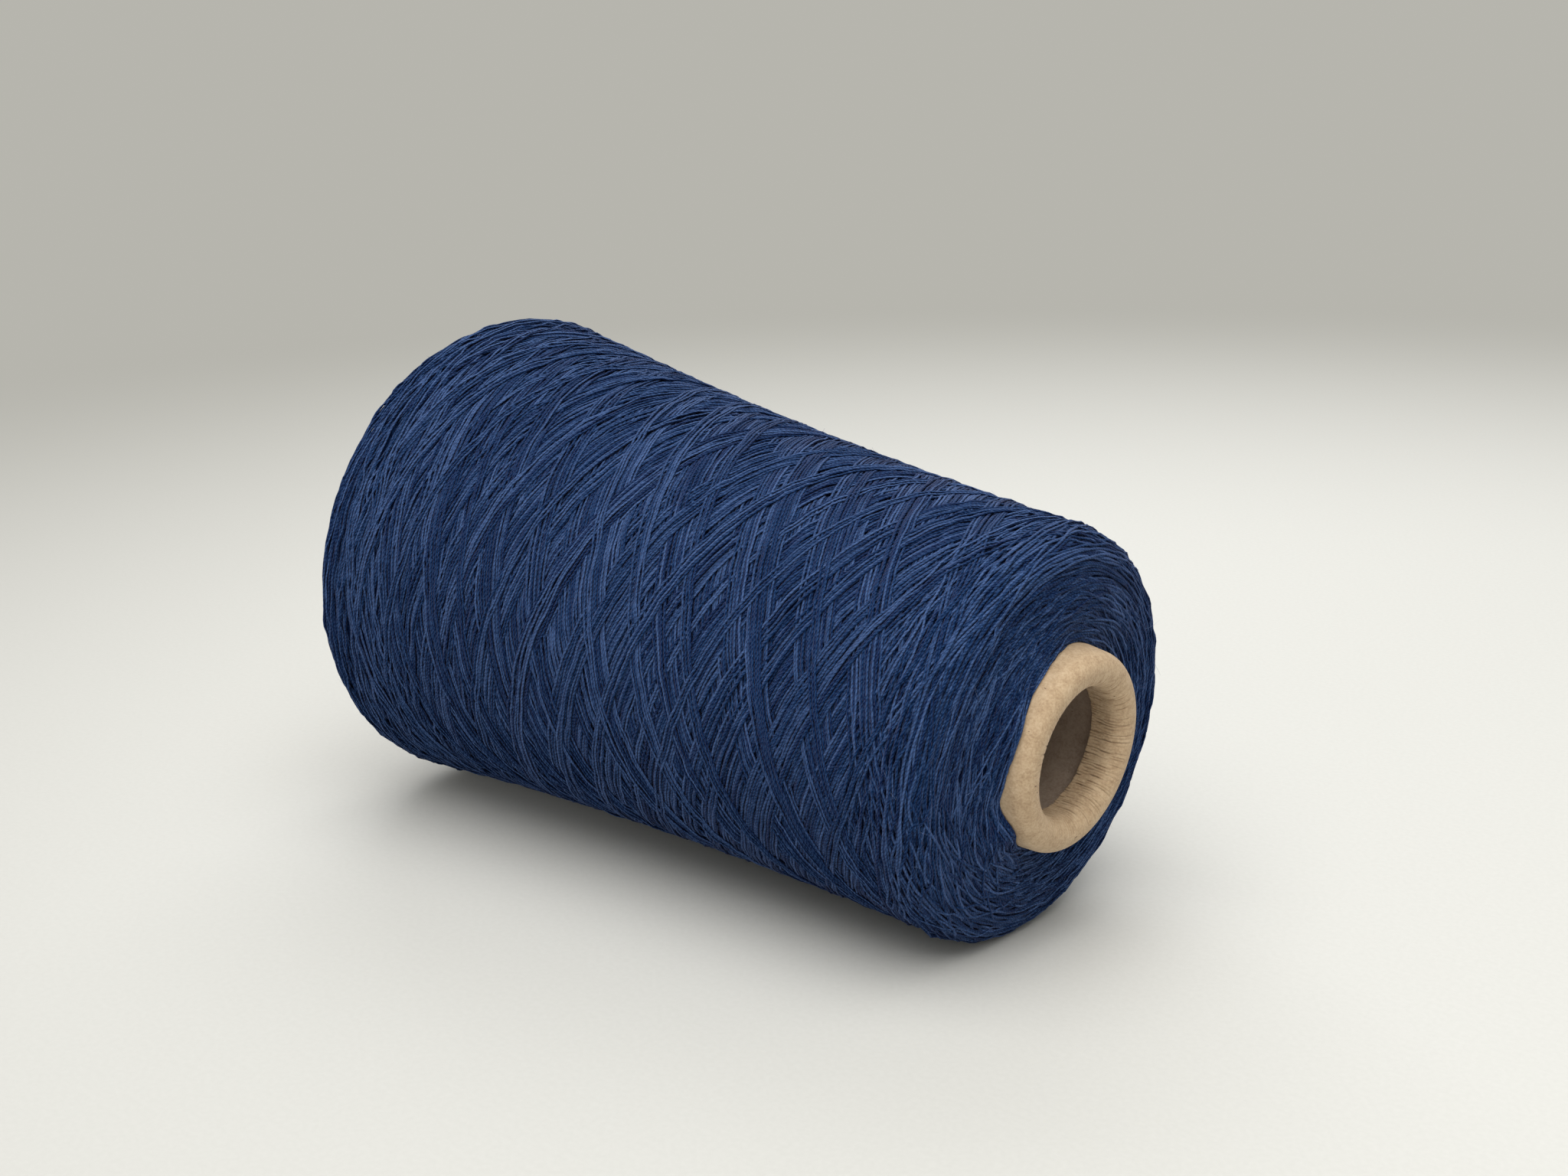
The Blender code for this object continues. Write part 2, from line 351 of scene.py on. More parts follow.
# ---------------------------------------------------------------- winding
class Winding:
    """Lays strands one after another on a height map over the surface."""

    def __init__(self, surface):
        self.surface = surface
        self.height = np.zeros((len(surface.radius), ROUND_CELLS), np.float32)
        self.strands = []
        self.settled = []

    def cells(self, s, theta):
        rows = np.clip(np.rint(s / self.surface.cell).astype(int), 0, self.height.shape[0] - 1)
        columns = np.rint(theta / (2 * math.pi) * ROUND_CELLS).astype(int) % ROUND_CELLS
        return rows, columns

    def footprint(self, s, theta):
        """Cells across the strand at each sample: a list of (offset, rows, columns)."""
        radius = self.surface.at(self.surface.radius, s)
        ds, da = np.gradient(s), np.gradient(theta) * radius
        size = np.hypot(ds, da) + 1e-9
        ds, da = ds / size, da / size
        result = []
        for offset in np.linspace(-PRINT_SHARE, PRINT_SHARE, PRINT_LINES) * YARN_HALF_WIDTH_MM:
            result.append((offset, *self.cells(s - da * offset, theta + ds * offset / radius)))
        return result

    def slip(self, s, theta):
        """Let a strand slide sideways off ridges into the hollows beside it."""
        for reach in SLIP_REACHES_MM:
            ahead = self.height[self.cells(s + reach, theta)]
            behind = self.height[self.cells(s - reach, theta)]
            s = s + np.clip(SLIP_SHARE * smooth(behind - ahead, SLIP_SOFTENING),
                            -SLIP_LIMIT_MM, SLIP_LIMIT_MM)
        return s

    def lay(self, s, theta, sink=0.0):
        """Rest a soft strand on the windings. sink lowers its samples, as where it dives in."""
        prints = self.footprint(s, theta)
        heights = np.sort([self.height[rows, columns] for _, rows, columns in prints], axis=0)
        below = 0.5 * (heights[2] + heights[3])
        lifted = smooth(np.minimum(taut(below), below + BRIDGE_MM), LIFT_SOFTENING)
        centre = lifted + YARN_HALF_HEIGHT_MM * NEST_SHARE - sink
        for offset, rows, columns in prints:
            crown = math.sqrt(1 - (offset / YARN_HALF_WIDTH_MM) ** 2) * YARN_HALF_HEIGHT_MM
            self.height[rows, columns] = np.maximum(self.height[rows, columns], centre + crown)
        self.strands.append((s, theta, centre, len(self.settled)))

    def settle(self):
        """Press hills and hollows of what has been wound back towards the nominal surface."""
        level = blur(self.height, SETTLE_MM / self.surface.cell,
                     SETTLE_MM / (2 * math.pi * MEAN_RADIUS_MM / ROUND_CELLS))
        self.height -= level
        self.settled.append(level)

    def finished(self):
        """Every strand as (s, theta, height) with all the settling since it was laid."""
        total = np.zeros_like(self.height)
        laid_after = len(self.settled)
        for s, theta, centre, laid in reversed(self.strands):
            while laid_after > laid:
                laid_after -= 1
                total += self.settled[laid_after]
            rows, columns = self.cells(s, theta)
            yield s, theta, centre - smooth(total[rows, columns], PRESS_SOFTENING)


def blur(values, rows, columns):
    """Gaussian blur of a map that wraps round in its columns and is held at its first and
    last rows; the widths are in cells."""
    pad = int(3 * rows)
    held = np.vstack([np.repeat(values[:1], pad, axis=0), values,
                      np.repeat(values[-1:], pad, axis=0)])
    fy = np.fft.fftfreq(held.shape[0])[:, None]
    fx = np.fft.rfftfreq(held.shape[1])[None, :]
    gain = np.exp(-2 * math.pi ** 2 * ((fy * rows) ** 2 + (fx * columns) ** 2))
    soft = np.fft.irfft2(np.fft.rfft2(held) * gain, s=held.shape)
    return soft[pad:pad + len(values)].astype(np.float32)


def taut(below):
    """Height of a tight strand over bumps: it leaves each one at a low slope."""
    run = np.arange(len(below)) * CLIMB_SLOPE * LAY_STEP_MM
    forward = np.maximum.accumulate(below + run) - run
    backward = np.maximum.accumulate((below - run)[::-1])[::-1] + run
    return np.maximum(forward, backward)


def traverse(surface, low, high):
    """One pass between two turning points: samples of s, and the angle turned since midway.

    Beyond each turning point the strand runs on round the end of the package.
    """
    samples = 500
    share = (1 - np.cos(np.linspace(0, math.pi, samples))) / 2
    s = low + (high - low) * share
    middle = (s[1:] + s[:-1]) / 2
    t = np.clip((middle - surface.wide_edge) / FULL_ANGLE_MM, 0, 1)
    angle = WIDE_WIND_ANGLE + (NARROW_WIND_ANGLE - WIDE_WIND_ANGLE) * t * t * (3 - 2 * t)
    near = np.minimum(middle - low, high - middle)
    angle = angle * np.sqrt(np.clip(near / TURN_LENGTH_MM, 1e-4, 1.0))
    steps = np.diff(s)
    run = np.concatenate([[0.0], np.cumsum(steps / np.sin(angle))])
    turned = np.concatenate([[0.0], np.cumsum(
        steps / np.tan(angle) / surface.at(surface.radius, middle))])
    turned -= np.interp(0.5 * surface.length, s, turned)
    even = np.arange(0.0, run[-1], LAY_STEP_MM)
    s, theta = np.interp(even, run, s), np.interp(even, run, turned)
    before = np.arange(RNG.uniform(*TURN_ARC_MM), 0, -LAY_STEP_MM)
    after = np.arange(LAY_STEP_MM, RNG.uniform(*TURN_ARC_MM), LAY_STEP_MM)
    s = np.concatenate([s[0] + TURN_CURL * before ** 2, s, s[-1] - TURN_CURL * after ** 2])
    theta = np.concatenate([theta[0] - before / surface.at(surface.radius, low), theta,
                            theta[-1] + after / surface.at(surface.radius, high)])
    return s, theta


def lay_ribbon(winding, strands, phase, direction):
    """Parallel strands side by side, each turning at places of its own."""
    surface = winding.surface
    count = 400
    places = np.linspace(0, surface.length, count)
    drift = wander(count, surface.length / count, *RIBBON_DRIFT)
    spread = 1 + wander(count, surface.length / count, *RIBBON_SPREAD)
    for strand in range(strands):
        low = surface.wide_edge - RNG.uniform(*WIDE_TURNS_MM)
        high = surface.narrow_edge + RNG.uniform(*NARROW_TURNS_MM)
        s, theta = traverse(surface, low, high)
        aside = (strand - (strands - 1) / 2) * STRAND_PITCH_MM * np.interp(s, places, spread)
        aside = aside + np.interp(s, places, drift) + wander(len(s), LAY_STEP_MM, *STRAND_DRIFT)
        ends = np.minimum(np.arange(len(s)), np.arange(len(s))[::-1]) * LAY_STEP_MM
        theta = phase + direction * theta
        winding.lay(winding.slip(s + aside, theta), theta,
                    sink=DIVE_DEPTH_MM * np.clip(1 - ends / DIVE_MM, 0, 1) ** 2)


def wind_flank(winding):
    """Pattern blocks of ribbons that cross each other, the last ones of narrow ribbons."""
    for block in range(BLOCKS):
        on_top = block >= BLOCKS - TOP_BLOCKS
        ribbons = int(RNG.integers(*RIBBONS))
        phases = RNG.uniform(0, 2 * math.pi, 2)
        for ribbon in range(ribbons):
            for phase, direction in zip(phases, (1, -1)):
                strands = int(RNG.integers(*(TOP_STRANDS if on_top else STRANDS)))
                place = phase + 2 * math.pi * ribbon / ribbons + RNG.normal(0.0, RIBBON_SCATTER)
                lay_ribbon(winding, strands, place, direction)
        winding.settle()


def lay_arc(winding, s, theta, share, dive):
    """Lay a short strand whose two ends dive in; share runs from -1 to 1 along it."""
    winding.lay(winding.slip(s, theta), theta, sink=dive * np.abs(share) ** 3)


def wind_end(winding, face_low, face_high, arcs, length_mm, cross):
    """Turning points of inner layers, seen on an end face as arcs whose ends dive in. Fewer
    are laid near the cone, where a full turn is shorter."""
    surface = winding.surface
    for _ in range(arcs):
        s_mid = RNG.uniform(face_low, face_high)
        radius = float(surface.at(surface.radius, s_mid))
        if RNG.uniform(0, ARC_ODDS_MM[1]) > radius + ARC_ODDS_MM[0]:
            continue
        length = length_mm * RNG.uniform(*ARC_LENGTHS)
        run = np.arange(-length / 2, length / 2, LAY_STEP_MM)
        theta = RNG.uniform(0, 2 * math.pi) + run / radius
        lean = RNG.normal(0.0, cross)
        s = s_mid + run * lean + wander(len(run), LAY_STEP_MM, *ARC_DRIFT)
        s = np.clip(s, face_low - ARC_STRAY_MM[0], face_high + ARC_STRAY_MM[1])
        lay_arc(winding, s, theta, run / (length / 2), ARC_DIVE_MM)


def slip_loops(winding, face_low, face_high):
    """Loops that slid off the flank and lie crossed against the nose, low on the near side."""
    surface = winding.surface
    for _ in range(LOOSE_LOOPS):
        s_mid = RNG.uniform(face_low, face_high)
        length = RNG.uniform(*LOOP_MM)
        run = np.arange(-length / 2, length / 2, LAY_STEP_MM)
        place = RNG.normal(LOOPS_SIDE, LOOPS_SCATTER)
        theta = place + run / float(surface.at(surface.radius, s_mid))
        bow = RNG.normal(0.0, LOOP_BOW_MM) * (1 - (run / (length / 2)) ** 2)
        s = s_mid + run * RNG.normal(0.0, LOOP_LEAN) + bow
        s = np.clip(s, face_low - LOOP_STRAY_MM, face_high)
        lay_arc(winding, s, theta, run / (length / 2), LOOP_DIVE_MM)


def visible_runs(winding):
    """Stretches of the strands that are not buried, as (s, theta, height) arrays."""
    runs = []
    pad = int(SEEN_MARGIN_MM / LAY_STEP_MM)
    for s, theta, centre in winding.finished():
        seen = np.zeros(len(s), bool)
        for offset, rows, columns in winding.footprint(s, theta)[1:-1]:
            crown = math.sqrt(1 - (offset / YARN_HALF_WIDTH_MM) ** 2) * YARN_HALF_HEIGHT_MM
            seen |= centre + crown > winding.height[rows, columns] - SEEN_DEPTH_MM
        wide = np.convolve(seen, np.ones(2 * pad + 1), "same") > 0
        edges = np.flatnonzero(np.diff(np.concatenate([[0], wide.view(np.int8), [0]])))
        for start, stop in zip(edges[::2], edges[1::2]):
            if np.count_nonzero(seen[start:stop]) > 2:
                runs.append((s[start:stop], theta[start:stop], centre[start:stop]))
    return runs


# ---------------------------------------------------------------- meshes
def new_mesh_object(name, vertices, groups):
    """A smooth-shaded object; each group is an array of polygons with the same corner count."""
    mesh = bpy.data.meshes.new(name)
    loops = np.concatenate([g.ravel() for g in groups]).astype(np.int32)
    sizes = np.concatenate([np.full(len(g), g.shape[1]) for g in groups]).astype(np.int32)
    starts = np.concatenate([[0], np.cumsum(sizes)[:-1]]).astype(np.int32)
    mesh.vertices.add(len(vertices))
    mesh.vertices.foreach_set("co", vertices.astype(np.float32).ravel())
    mesh.loops.add(len(loops))
    mesh.loops.foreach_set("vertex_index", loops)
    mesh.polygons.add(len(sizes))
    mesh.polygons.foreach_set("loop_start", starts)
    mesh.update(calc_edges=True)
    mesh.validate()
    mesh.shade_smooth()
    obj = bpy.data.objects.new(name, mesh)
    bpy.context.collection.objects.link(obj)
    return obj


def set_attribute(obj, name, values):
    layer = obj.data.attributes.new(name, "FLOAT", "POINT")
    layer.data.foreach_set("value", np.asarray(values, np.float32))


def set_uv(obj, name, u_of_loop, v_of_loop):
    layer = obj.data.uv_layers.new(name=name)
    layer.data.foreach_set("uv", np.column_stack([u_of_loop, v_of_loop]).astype(np.float32).ravel())


def tubes(name, lines, half_width, half_height, sides=TUBE_SIDES):
    """One object of closed tubes. Each line is (points, up, tone): a strand's centre line in
    metres, its upward normals, and a random shade. Both tips taper to a blunt end. The UV map
    "strand" is the distance run in mm, shifted by the shade, and the share of a turn round it."""
    vertices, quads, caps, u_values, v_values, tones = [], [], [], [], [], []
    base = 0
    angle = np.linspace(0, 2 * math.pi, sides, endpoint=False) + math.pi / 2
    ring = np.arange(sides)
    for points, up, tone in lines:
        count = len(points)
        tangent = np.gradient(points, axis=0)
        tangent /= np.linalg.norm(tangent, axis=1)[:, None]
        across = np.cross(tangent, up)
        across /= np.linalg.norm(across, axis=1)[:, None]
        over = np.cross(across, tangent)
        taper = np.ones(count)
        taper[[0, -1]] = TIP_TAPER
        offset = (np.cos(angle)[None, :, None] * across[:, None] * half_width
                  + np.sin(angle)[None, :, None] * over[:, None] * half_height)
        body = points[:, None] + offset * taper[:, None, None]
        vertices.append(body.reshape(-1, 3))
        rows = base + sides * np.arange(count - 1)[:, None]
        quad = np.stack([rows + ring, rows + (ring + 1) % sides,
                         rows + sides + (ring + 1) % sides, rows + sides + ring], axis=-1)
        quads.append(quad.reshape(-1, 4))
        caps.append(base + ring[::-1])
        caps.append(base + sides * (count - 1) + ring)
        run = np.concatenate([[0], np.cumsum(np.linalg.norm(np.diff(points, axis=0), axis=1))])
        run = run * 1000 + 7.0 * tone
        u0 = np.repeat(run[:-1], sides)
        u1 = np.repeat(run[1:], sides)
        v0 = np.tile(ring / sides, count - 1)
        v1 = v0 + 1 / sides
        u_values.append(np.column_stack([u0, u0, u1, u1]).ravel())
        v_values.append(np.column_stack([v0, v1, v1, v0]).ravel())
        tones.append(np.full(count * sides, tone))
        base += count * sides
    quads, caps = np.vstack(quads), np.vstack(caps)
    obj = new_mesh_object(name, np.vstack(vertices), [quads, caps])
    cap_loops = np.zeros(caps.size)
    set_uv(obj, "strand", np.concatenate(u_values + [cap_loops]),
           np.concatenate(v_values + [cap_loops]))
    set_attribute(obj, "tone", np.concatenate(tones))
    return obj


def turned_grid(name, radius, along):
    """A closed section turned round the axis, from 2-D arrays (section point, angle) of
    radius and along, in metres."""
    count, segments = radius.shape
    theta = np.linspace(0, 2 * math.pi, segments, endpoint=False)
    vertices = to_world(cylindrical(radius, theta, along).reshape(-1, 3))
    i, j = np.meshgrid(np.arange(count), np.arange(segments), indexing="ij")
    after, beside = (i + 1) % count, (j + 1) % segments
    quads = np.stack([i * segments + j, i * segments + beside,
                      after * segments + beside, after * segments + j], axis=-1)
    obj = new_mesh_object(name, vertices, [quads.reshape(-1, 4)])
    flip_if_inside_out(obj)
    return obj


def flip_if_inside_out(obj):
    bm = bmesh.new()
    bm.from_mesh(obj.data)
    if bm.calc_volume(signed=True) < 0:
        bmesh.ops.reverse_faces(bm, faces=bm.faces)
        bm.to_mesh(obj.data)
    bm.free()


def press_flat(obj):
    """Yarn that would sink below the surface it lies on is pressed flat against it."""
    points = np.empty(len(obj.data.vertices) * 3, np.float32)
    obj.data.vertices.foreach_get("co", points)
    points[2::3] = np.maximum(points[2::3], FLOOR_CLEARANCE)
    obj.data.vertices.foreach_set("co", points)
    obj.data.update()


def finish_piece(obj, slot, mat, *replaced):
    obj.data.materials.clear()
    obj.data.materials.append(mat)
    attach(obj, "root")
    if replaced:
        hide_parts(*replaced)


# ---------------------------------------------------------------- materials
class Nodes:
    """Short calls for building a Principled material."""

    def __init__(self, name):
        self.mat = bpy.data.materials.new(name)
        self.mat.use_nodes = True
        self.tree = self.mat.node_tree
        self.shader = self.tree.nodes["Principled BSDF"]

    def add(self, kind, **settings):
        node = self.tree.nodes.new(kind)
        for key, value in settings.items():
            if key in node.inputs:
                node.inputs[key].default_value = value
            else:
                setattr(node, key, value)
        return node

    def link(self, output, target):
        self.tree.links.new(output, target)

    def math(self, operation, *values):
        node = self.add("ShaderNodeMath", operation=operation)
        for socket, value in zip(node.inputs, values):
            if isinstance(value, (int, float)):
                socket.default_value = value
            else:
                self.link(value, socket)
        return node.outputs[0]

    def plus(self, a, b):
        return self.math("ADD", a, b)

    def times(self, a, b):
        return self.math("MULTIPLY", a, b)

    def place(self):
        return self.add("ShaderNodeTexCoord").outputs["Object"]

    def attribute(self, name):
        return self.add("ShaderNodeAttribute", attribute_name=name).outputs["Fac"]

    def set(self, **values):
        """Values on the shader's own sockets; an underscore stands for a space."""
        for name, value in values.items():
            self.shader.inputs[name.replace("_", " ")].default_value = value

    def noise(self, vector, scale, detail=4.0, roughness=0.55):
        node = self.add("ShaderNodeTexNoise", Scale=scale, Detail=detail, Roughness=roughness)
        self.link(vector, node.inputs["Vector"])
        return node.outputs["Fac"]

    def ramp(self, value, *stops):
        node = self.add("ShaderNodeValToRGB")
        elements = node.color_ramp.elements
        while len(elements) < len(stops):
            elements.new(0.5)
        for element, (position, colour) in zip(elements, stops):
            element.position = position
            element.color = (*colour, 1.0)
        self.link(value, node.inputs["Fac"])
        return node.outputs["Color"]

    def mix(self, factor, colour, towards):
        """A linked colour that goes towards a fixed one by a linked factor."""
        node = self.add("ShaderNodeMix", data_type="RGBA")
        self.link(factor, node.inputs[0])
        self.link(colour, node.inputs[6])
        node.inputs[7].default_value = (*towards, 1.0)
        return node.outputs[2]

    def bump(self, height, strength, distance):
        node = self.add("ShaderNodeBump", Strength=strength, Distance=distance)
        self.link(height, node.inputs["Height"])
        self.link(node.outputs["Normal"], self.shader.inputs["Normal"])


def yarn_material():
    """Two-ply yarn: slanted plies along each strand, fine fibres and a shade for each strand; painted
    shade on its sides and ply grooves, a painted highlight on its ply crowns.
    """
    # The first colour is the darkest tone and also the painted shade; the last is the palest tone and
    # also the painted highlight.
    dark_tone_and_shade, mid, light = (0.0001, 0.0066, 0.042), (0.0024, 0.0242, 0.085), (0.066, 0.122, 0.280)
    n = Nodes("navy_yarn")
    uv = n.add("ShaderNodeUVMap", uv_map="strand")
    split = n.add("ShaderNodeSeparateXYZ")
    n.link(uv.outputs["UV"], split.inputs[0])
    run, around = split.outputs[0], split.outputs[1]
    tone, place = n.attribute("tone"), n.place()
    turn = n.plus(n.times(run, 2 * math.pi / TWIST_PITCH_MM), n.times(around, 2 * math.pi))
    loose = n.add("ShaderNodeCombineXYZ")
    n.link(n.times(run, 0.45), loose.inputs[0])
    n.link(n.times(tone, 90.0), loose.inputs[1])
    turn = n.plus(turn, n.times(n.noise(loose.outputs[0], 1.0, 2.0), 7.0))
    ply = n.math("POWER", n.math("ABSOLUTE", n.math("SINE", turn)), 0.7)
    fibre_place = n.add("ShaderNodeCombineXYZ")
    n.link(n.times(run, 0.9), fibre_place.inputs[0])
    n.link(n.plus(n.times(around, 11.0), n.times(run, 3.6)), fibre_place.inputs[1])
    n.link(n.times(tone, 40.0), fibre_place.inputs[2])
    fibre = n.noise(fibre_place.outputs[0], 1.6, 3.0)
    slub = n.noise(place, 420.0, 3.0, 0.6)
    shade = n.plus(n.plus(n.times(tone, 0.34), n.times(fibre, 0.36)), n.times(slub, 0.34))
    colour = n.ramp(shade, (0.32, dark_tone_and_shade), (0.49, mid), (0.71, light))
    # Painted shade: each strand darkens away from its top, down its sides and underneath, as if
    # shaded by the strands beside it.
    top = n.math("MAXIMUM", n.math("COSINE", n.times(around, 2 * math.pi)), 0.0)
    colour = n.mix(n.math("SUBTRACT", 1.0, n.math("POWER", top, 0.75)), colour, dark_tone_and_shade)
    # Painted shade in the grooves between the two plies.
    colour = n.mix(n.times(n.math("SUBTRACT", 1.0, ply), 0.55), colour, dark_tone_and_shade)
    # Painted highlight on the ply crowns, strongest where the fibre noise is high.
    crown = n.times(n.math("POWER", ply, 3.0), n.math("POWER", fibre, 2.0))
    colour = n.mix(n.times(crown, 0.9), colour, light)
    n.link(colour, n.shader.inputs["Base Color"])
    n.link(n.plus(n.times(fibre, 0.25), 0.48), n.shader.inputs["Roughness"])
    n.set(Specular_IOR_Level=0.04, Sheen_Weight=0.13, Sheen_Roughness=0.30,
          Sheen_Tint=(0.62, 0.58, 0.95, 1.0))
    height = n.plus(n.times(ply, 0.8), n.times(fibre, 0.6))
    n.bump(height, 0.8, 0.00012)
    return n.mat


def fuzz_material():
    """Loose fibre ends, some painted much paler than the yarn at random: a painted highlight for
    light coming through them.
    """
    n = Nodes("navy_fuzz")
    tone, place = n.attribute("tone"), n.place()
    shade = n.plus(n.times(tone, 0.7), n.times(n.noise(place, 700.0), 0.3))
    # The two paler stops are a painted highlight of light through the fibres, not their own colour.
    n.link(n.ramp(shade, (0.2, (0.03, 0.06, 0.17)), (0.75, (0.10, 0.15, 0.33)),
                  (0.97, (0.42, 0.47, 0.60))), n.shader.inputs["Base Color"])
    n.set(Roughness=0.6, Specular_IOR_Level=0.2)
    return n.mat


def paper_material(name, dark, base, pale, speck_and_crease_shade, rough):
    """Kraft paper or board: fine mottled pulp, fibres, a few dark specks, and painted shade in the
    creases.
    """
    n = Nodes(name)
    place = n.place()
    cloud = n.noise(place, 480.0, 4.0, 0.6)
    fine = n.noise(place, 2300.0, 2.0, 0.6)
    body = n.plus(n.times(cloud, 0.5), n.times(fine, 0.5))
    colour = n.ramp(body, (0.30, dark), (0.50, base), (0.70, pale))
    stretch = n.add("ShaderNodeMapping")
    stretch.inputs["Scale"].default_value = (1.0, 1.0, 3.0)
    stretch.inputs["Rotation"].default_value = (0.5, 0.9, 0.3)
    n.link(place, stretch.inputs["Vector"])
    flecks = n.noise(stretch.outputs[0], 560.0, 2.0, 0.5)
    colour = n.mix(n.ramp(flecks, (0.73, (0, 0, 0)), (0.78, (1, 1, 1))), colour, speck_and_crease_shade)
    fibres = n.noise(stretch.outputs[0], 1300.0, 1.0, 0.4)
    fibres = n.ramp(fibres, (0.62, (0, 0, 0)), (0.70, (1, 1, 1)))
    colour = n.mix(n.times(fibres, 0.35), colour, pale)
    # Painted shade in the creases of the cover ply, in the dark speck colour, deepest at a crease's
    # bottom.
    colour = n.mix(n.times(n.attribute("crease_shade"), 0.72), colour, speck_and_crease_shade)
    n.link(colour, n.shader.inputs["Base Color"])
    n.link(n.plus(n.times(fine, 0.2), rough - 0.1), n.shader.inputs["Roughness"])
    n.set(Specular_IOR_Level=0.25, Sheen_Weight=0.08)
    n.bump(body, 0.35, 0.00012)
    return n.mat


# ---------------------------------------------------------------- the yarn
def make_package(yarn):
    """Winds the package and makes its strands, the body below them and the loose fibres."""
    surface = Surface(package_section())
    winding = Winding(surface)
    nose_edge = surface.length - 0.2
    for _ in range(2):
        wind_end(winding, 0.3, surface.wide_edge - 1.0, *WIDE_ARCS)
        wind_end(winding, surface.narrow_edge + 1.0, nose_edge, *NARROW_ARCS)
        winding.settle()
    wind_flank(winding)
    slip_loops(winding, surface.narrow_edge + 2.0, nose_edge)

    lines = []
    stride = int(MESH_STEP_MM / LAY_STEP_MM)
    for s, theta, centre in visible_runs(winding):
        take = np.unique(np.concatenate([np.arange(0, len(s), stride), [len(s) - 1]]))
        if len(take) < 3:
            continue
        s, theta, centre = s[take], theta[take], centre[take]
        lines.append((surface.world(s, theta, centre), surface.normals(s, theta),
                      RNG.uniform(0, 1)))

    pieces, batch, faces = [], [], 0
    for index in RNG.permutation(len(lines)):
        batch.append(lines[index])
        faces += len(lines[index][0]) * TUBE_SIDES
        if faces > FACES_PER_PIECE:
            pieces.append(batch)
            batch, faces = [], 0
    pieces.append(batch)
    for number, batch in enumerate(pieces, 1):
        obj = tubes(f"yarn_strands_{number}", batch,
                    YARN_HALF_WIDTH_MM * 0.001, YARN_HALF_HEIGHT_MM * 0.001)
        press_flat(obj)
        finish_piece(obj, "navy_yarn", yarn)

    make_body(surface, winding.height)
    make_fuzz(lines)


def make_fuzz(lines):
    """Short loose fibres that leave a strand at a low angle, curl and end in the air."""
    hairs = []
    share = np.linspace(0, 1, 5)[:, None]
    for index in RNG.integers(0, len(lines), FUZZ_HAIRS):
        points, up, _ = lines[index]
        at = int(RNG.integers(0, len(points) - 1))
        along = points[at + 1] - points[at]
        along *= RNG.choice((-1, 1)) / np.linalg.norm(along)
        aside = np.cross(along, up[at])
        longest = 1.0 + 3.8 * RNG.uniform() ** 2
        length = 0.001 * RNG.uniform(0.8, longest)
        lean, curl = RNG.normal(0, 0.35), RNG.normal(0, 0.5)
        lift = RNG.uniform(0.02, 0.30)
        start = points[at] + up[at] * YARN_HALF_HEIGHT_MM * 0.0006     # just inside the strand
        line = (start + along * length * share + aside * length * (lean * share + curl * share ** 2)
                + up[at] * length * lift * share ** 1.3)
        hairs.append((line, np.repeat(up[at][None], len(line), axis=0), RNG.uniform(0, 1)))
    obj = tubes("loose_fibres", hairs, HAIR_RADIUS, HAIR_RADIUS, sides=3)
    press_flat(obj)
    finish_piece(obj, "navy_yarn", fuzz_material())


def make_body(surface, height):
    """The older windings below the modelled strands: a closed body just under them all."""
    cells_a_step = 4
    segments = ROUND_CELLS // cells_a_step
    rows = np.unique(np.concatenate([
        np.arange(0, len(surface.radius), cells_a_step), [len(surface.radius) - 1]]))
    columns = np.arange(segments) * cells_a_step
    low = low_filter(height, cells_a_step, cells_a_step)
    floor = np.clip(low - BODY_DEPTH_MM, *BODY_RANGE_MM)
    lift = floor[rows][:, columns]
    theta = np.linspace(0, 2 * math.pi, segments, endpoint=False)
    heap = np.array([surface.heap(row * surface.cell, theta) for row in rows])
    radius = (surface.radius[rows][:, None] + lift * surface.normal_radial[rows][:, None]) * 0.001
    along = (surface.along[rows][:, None] + lift * surface.normal_along[rows][:, None]
             + heap) * 0.001
    obj = turned_grid("yarn_inner_windings", radius, along)
    press_flat(obj)
    finish_piece(obj, "navy_yarn", yarn_body_material(), "yarn_package")


def low_filter(values, rows, columns):
    """Lowest value in a window, wrapping round the axis, then softened over the window."""
    result = values.copy()
    for shift in range(-rows, rows + 1):
        moved = np.roll(values, shift, axis=0)
        if shift > 0:
            moved[:shift] = values[:shift]
        elif shift < 0:
            moved[shift:] = values[shift:]
        result = np.minimum(result, moved)
    wide = result.copy()
    for shift in range(-columns, columns + 1):
        wide = np.minimum(wide, np.roll(result, shift, axis=1))
    soft = np.zeros_like(wide)
    for shift in range(-columns, columns + 1):
        soft += np.roll(wide, shift, axis=1)
    return soft / (2 * columns + 1)


def yarn_body_material():
    """The same yarn in the dark between the strands."""
    n = Nodes("navy_yarn_inner")
    place = n.place()
    lines = n.noise(place, 1800.0, 3.0)
    n.link(n.ramp(lines, (0.35, (0.0006, 0.007, 0.040)), (0.7, (0.006, 0.026, 0.095))),
           n.shader.inputs["Base Color"])
    n.set(Specular_IOR_Level=0.08)
    n.link(n.plus(n.times(lines, 0.2), 0.7), n.shader.inputs["Roughness"])
    n.bump(lines, 0.5, 0.0003)
    return n.mat


# ---------------------------------------------------------------- the paper cone
def ply_path(offset, back_steps, arc_steps, wall_steps):
    """Section line of a ply's face: from its cut edge in the mouth, over the nose, to the base."""
    back = [wall_frame(-offset, -FOLD_DEPTH * (1 - i / back_steps)) for i in range(back_steps)]
    over = arc((CREST_RADIUS, CREST_ALONG), offset, CONE_TAPER + math.pi, CONE_TAPER, arc_steps)
    base = wall_point(offset, BASE)
    top = over[-1]
    wall = [top + (base - top) * (i / wall_steps) for i in range(1, wall_steps + 1)]
    return np.vstack([back, over, wall])


